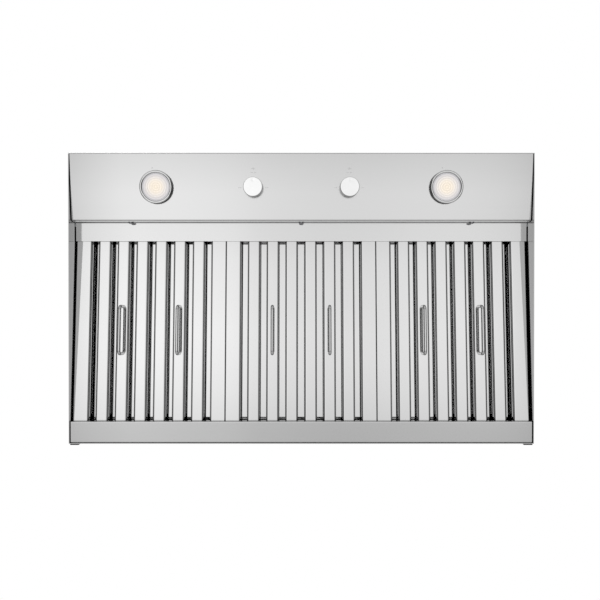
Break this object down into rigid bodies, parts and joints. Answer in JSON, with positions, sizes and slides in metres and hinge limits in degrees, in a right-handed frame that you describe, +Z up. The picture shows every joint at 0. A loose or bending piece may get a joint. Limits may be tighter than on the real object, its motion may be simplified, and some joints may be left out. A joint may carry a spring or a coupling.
{
  "type": "range hood insert",
  "caption": "Built-in range hood insert: a sloping control panel with knobs and lamps, sloping baffle filters with wire handles, a grease trough, and a blower under a round duct collar.",
  "frame": {"origin": "middle of the overall box, at its lowest level, which is the faces of the knobs", "axes": "+Z up as installed, the front with the control panel faces -Y, +X to the right seen from the front; as seen from below with the front up, +X points right"},
  "size_m": [0.88, 0.552, 0.3509],
  "materials": {
    "stainless": "fine brushed, fairly bright",
    "filter_steel": "fine brushed, nearly mirror bright",
    "handle_steel": "polished wire",
    "galvanised": "dull zinc",
    "polished": "satin polished",
    "screw_steel": "zinc plated",
    "lens": "frosted with fine rings",
    "housing": "plain",
    "rubber": "matt black",
    "switch_plastic": "matt black",
    "driver_plastic": "matt white",
    "motor_paint": "black enamel"
  },
  "bodies": {
    "hood": {"blower_box": "galvanised", "blower_motor": "motor_paint", "blower_outlet_flange": "galvanised", "capacitor_clip": "galvanised", "control_box_cover": "galvanised", "control_cable": "rubber", "control_panel": "stainless", "damper_pins": "screw_steel", "duct_collar": "galvanised", "fan_switch": "switch_plastic", "front_filter_rail": "stainless", "front_wall": "stainless", "grease_trough": "stainless", "junction_box": "galvanised", "junction_box_cover": "galvanised", "lamp_spring_clips": "screw_steel", "led_driver": "driver_plastic", "left_inlet_ring": "galvanised", "left_lamp_bezel": "polished", "left_lamp_housing": "housing", "left_lamp_lens": "lens", "left_scroll_side": "galvanised", "left_side_wall": "stainless", "light_switch": "switch_plastic", "motor_bracket": "galvanised", "rail_screws": "screw_steel", "rear_corner_pads": "rubber", "rear_wall": "stainless", "right_inlet_ring": "galvanised", "right_lamp_bezel": "polished", "right_lamp_housing": "housing", "right_lamp_lens": "lens", "right_scroll_side": "galvanised", "right_side_wall": "stainless", "run_capacitor": "housing", "scroll_wrapper": "galvanised", "sheet_metal_screws": "screw_steel", "switch_nuts": "screw_steel", "top_deck": "galvanised", "wire_grommet": "rubber"},
    "left_filter": {"left_filter_frame": "filter_steel", "left_filter_lower_baffles": "filter_steel", "left_filter_upper_baffles": "filter_steel", "left_filter_handles": "handle_steel"},
    "middle_filter": {"middle_filter_frame": "filter_steel", "middle_filter_lower_baffles": "filter_steel", "middle_filter_upper_baffles": "filter_steel", "middle_filter_handles": "handle_steel"},
    "right_filter": {"right_filter_frame": "filter_steel", "right_filter_lower_baffles": "filter_steel", "right_filter_upper_baffles": "filter_steel", "right_filter_handles": "handle_steel"},
    "fan_knob": {"fan_knob": "polished", "fan_shaft": "screw_steel"},
    "light_knob": {"light_knob": "polished", "light_shaft": "screw_steel"},
    "blower_wheel": {"blower_wheel": "galvanised", "motor_shaft": "screw_steel"},
    "front_flap": {"front_damper_flap": "galvanised"},
    "rear_flap": {"rear_damper_flap": "galvanised"}
  },
  "joints": [
    {"name": "left_filter_slide", "type": "slide", "parent": "hood", "child": "left_filter", "axis": [0, -0.9984, 0.0565], "range_m": [0, 0.0145]},
    {"name": "middle_filter_slide", "type": "slide", "parent": "hood", "child": "middle_filter", "axis": [0, -0.9984, 0.0565], "range_m": [0, 0.0145]},
    {"name": "right_filter_slide", "type": "slide", "parent": "hood", "child": "right_filter", "axis": [0, -0.9984, 0.0565], "range_m": [0, 0.0145]},
    {"name": "fan_knob_turn", "type": "hinge", "parent": "hood", "child": "fan_knob", "pos_m": [-0.09075, -0.2115, 0.01549], "axis": [0, -0.072, 0.9974], "range_deg": [0, 270]},
    {"name": "light_knob_turn", "type": "hinge", "parent": "hood", "child": "light_knob", "pos_m": [0.09075, -0.2115, 0.01549], "axis": [0, -0.072, 0.9974], "range_deg": [0, 270]},
    {"name": "blower_spin", "type": "hinge", "parent": "hood", "child": "blower_wheel", "pos_m": [0, 0.004, 0.19792], "axis": [1, 0, 0], "continuous": true},
    {"name": "front_flap_swing", "type": "hinge", "parent": "hood", "child": "front_flap", "pos_m": [0, 0.0645, 0.31112], "axis": [-1, 0, 0], "range_deg": [0, 80]},
    {"name": "rear_flap_swing", "type": "hinge", "parent": "hood", "child": "rear_flap", "pos_m": [0, 0.0725, 0.31112], "axis": [1, 0, 0], "range_deg": [0, 80]}
  ]
}
